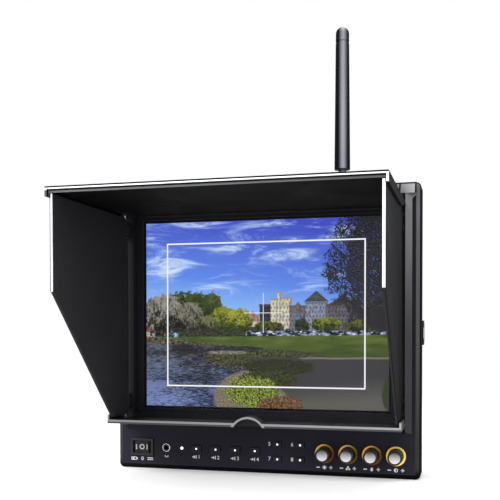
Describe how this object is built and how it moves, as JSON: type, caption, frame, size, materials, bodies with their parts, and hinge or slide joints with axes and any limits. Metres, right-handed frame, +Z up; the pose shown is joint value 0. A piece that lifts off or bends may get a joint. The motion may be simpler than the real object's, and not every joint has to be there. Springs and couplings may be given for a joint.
{
  "type": "camera field monitor with sun hood",
  "caption": "Portable camera field monitor with a folding sun hood, control row of buttons and knobs, tilting antenna and a battery plate on the back.",
  "frame": {"origin": "centre of the tripod hole's mouth in the underside of the casing", "axes": "+Z up out of the tripod hole through the upright screen, -Y towards the viewer, X across the screen"},
  "size_m": [0.2458, 0.1827, 0.3542],
  "materials": {
    "antenna_black": "smooth satin sleeve",
    "black_plastic": "satin black",
    "board_green": "solder mask",
    "brass_plate": "turned",
    "button_plastic": "satin",
    "can_metal": "tinned can",
    "cap_silver": "brushed face",
    "contact_gold": "plated",
    "dark_case": "fine satin grain",
    "dark_hood": "smooth satin sheet",
    "diffuser": "milky sheet",
    "edge_silver": "bright satin edge",
    "frame_grey": "satin, lighter grey",
    "glass": "clear, glossy",
    "lamp_white": "clear lens",
    "picture": "lit picture",
    "ring_gold": "anodised gold and orange",
    "steel": "turned",
    "tray_metal": "pressed sheet"
  },
  "bodies": {
    "monitor": {"front_casing": "dark_case", "rear_cover": "dark_case", "case_screws": "steel", "cover_glass": "glass", "display_cell": "picture", "backlight": "diffuser", "screen_tray": "tray_metal", "main_board": "board_green", "control_board": "board_green", "receiver_box": "can_metal", "speaker": "black_plastic", "rocker_housing": "black_plastic", "headphone_socket": "can_metal", "status_lamp": "lamp_white", "knob_encoders": "can_metal", "knob_rings": "ring_gold", "tripod_insert": "steel", "side_inserts": "steel", "rear_inserts": "brass_plate", "video_sockets": "can_metal", "power_socket": "black_plastic", "battery_plate": "black_plastic", "battery_contacts": "contact_gold", "hood_frame": "frame_grey", "antenna_socket": "brass_plate", "antenna_nut": "brass_plate"},
    "hood_lid": {"hood_lid": "dark_hood", "lid_skirts": "dark_hood", "lid_edge_strip": "edge_silver", "lid_pins": "steel"},
    "hood_floor": {"hood_floor": "dark_hood", "floor_skirts": "dark_hood", "floor_pins": "steel"},
    "left_flap": {"left_flap": "dark_hood", "left_edge_strip": "edge_silver", "left_flap_pins": "steel"},
    "right_flap": {"right_flap": "dark_hood", "right_edge_strip": "edge_silver", "right_flap_pins": "steel"},
    "power_rocker": {"power_rocker": "button_plastic"},
    "battery_latch": {"battery_latch": "button_plastic"},
    "antenna_foot": {"antenna_foot": "black_plastic", "antenna_pin": "steel"},
    "antenna_mast": {"antenna_mast": "antenna_black"},
    "input_button_1": {"input_button_1": "button_plastic"},
    "function_button_1": {"function_button_1": "button_plastic"},
    "knob_1": {"knob_1": "black_plastic", "knob_cap_1": "cap_silver"},
    "input_button_2": {"input_button_2": "button_plastic"},
    "function_button_2": {"function_button_2": "button_plastic"},
    "knob_2": {"knob_2": "black_plastic", "knob_cap_2": "cap_silver"},
    "input_button_3": {"input_button_3": "button_plastic"},
    "function_button_3": {"function_button_3": "button_plastic"},
    "knob_3": {"knob_3": "black_plastic", "knob_cap_3": "cap_silver"},
    "input_button_4": {"input_button_4": "button_plastic"},
    "function_button_4": {"function_button_4": "button_plastic"},
    "knob_4": {"knob_4": "black_plastic", "knob_cap_4": "cap_silver"}
  },
  "joints": [
    {"name": "left_flap_fold", "type": "hinge", "parent": "monitor", "child": "left_flap", "pos_m": [-0.1086, -0.0392, 0.12], "axis": [0, 0, 1], "range_deg": [0, 90]},
    {"name": "right_flap_fold", "type": "hinge", "parent": "monitor", "child": "right_flap", "pos_m": [0.1086, -0.0416, 0.12], "axis": [0, 0, -1], "range_deg": [0, 90]},
    {"name": "lid_lift", "type": "hinge", "parent": "monitor", "child": "hood_lid", "pos_m": [0, -0.0392, 0.2083], "axis": [-1, 0, 0], "range_deg": [0, 15]},
    {"name": "floor_drop", "type": "hinge", "parent": "monitor", "child": "hood_floor", "pos_m": [0, -0.0392, 0.0389], "axis": [1, 0, 0], "range_deg": [0, 15]},
    {"name": "antenna_turn", "type": "hinge", "parent": "monitor", "child": "antenna_foot", "pos_m": [0.0579, 0.004, 0.226], "axis": [0, 0, 1], "range_deg": [-170, 170]},
    {"name": "antenna_tilt", "type": "hinge", "parent": "antenna_foot", "child": "antenna_mast", "pos_m": [0.0579, 0.004, 0.2333], "axis": [-1, 0, 0], "range_deg": [0, 90]},
    {"name": "power_rock", "type": "hinge", "parent": "monitor", "child": "power_rocker", "pos_m": [-0.101, -0.025, 0.0176], "axis": [0, 0, 1], "range_deg": [-9, 9]},
    {"name": "knob_1_turn", "type": "hinge", "parent": "monitor", "child": "knob_1", "pos_m": [0.0496, -0.028, 0.0176], "axis": [0, -1, 0], "range_deg": [-150, 150]},
    {"name": "knob_2_turn", "type": "hinge", "parent": "monitor", "child": "knob_2", "pos_m": [0.0678, -0.028, 0.0176], "axis": [0, -1, 0], "range_deg": [-150, 150]},
    {"name": "knob_3_turn", "type": "hinge", "parent": "monitor", "child": "knob_3", "pos_m": [0.086, -0.028, 0.0176], "axis": [0, -1, 0], "range_deg": [-150, 150]},
    {"name": "knob_4_turn", "type": "hinge", "parent": "monitor", "child": "knob_4", "pos_m": [0.1042, -0.028, 0.0176], "axis": [0, -1, 0], "range_deg": [-150, 150]},
    {"name": "input_button_1_press", "type": "slide", "parent": "monitor", "child": "input_button_1", "axis": [0, 1, 0], "range_m": [0, 0.0008], "stiffness_N_per_m": 400, "springref_m": -0.0005},
    {"name": "input_button_2_press", "type": "slide", "parent": "monitor", "child": "input_button_2", "axis": [0, 1, 0], "range_m": [0, 0.0008], "stiffness_N_per_m": 400, "springref_m": -0.0005},
    {"name": "input_button_3_press", "type": "slide", "parent": "monitor", "child": "input_button_3", "axis": [0, 1, 0], "range_m": [0, 0.0008], "stiffness_N_per_m": 400, "springref_m": -0.0005},
    {"name": "input_button_4_press", "type": "slide", "parent": "monitor", "child": "input_button_4", "axis": [0, 1, 0], "range_m": [0, 0.0008], "stiffness_N_per_m": 400, "springref_m": -0.0005},
    {"name": "function_button_1_press", "type": "slide", "parent": "monitor", "child": "function_button_1", "axis": [0, 1, 0], "range_m": [0, 0.0008], "stiffness_N_per_m": 400, "springref_m": -0.0005},
    {"name": "function_button_2_press", "type": "slide", "parent": "monitor", "child": "function_button_2", "axis": [0, 1, 0], "range_m": [0, 0.0008], "stiffness_N_per_m": 400, "springref_m": -0.0005},
    {"name": "function_button_3_press", "type": "slide", "parent": "monitor", "child": "function_button_3", "axis": [0, 1, 0], "range_m": [0, 0.0008], "stiffness_N_per_m": 400, "springref_m": -0.0005},
    {"name": "function_button_4_press", "type": "slide", "parent": "monitor", "child": "function_button_4", "axis": [0, 1, 0], "range_m": [0, 0.0008], "stiffness_N_per_m": 400, "springref_m": -0.0005},
    {"name": "battery_latch_pull", "type": "slide", "parent": "monitor", "child": "battery_latch", "axis": [0, 0, -1], "range_m": [0, 0.004], "stiffness_N_per_m": 300, "springref_m": -0.002}
  ]
}
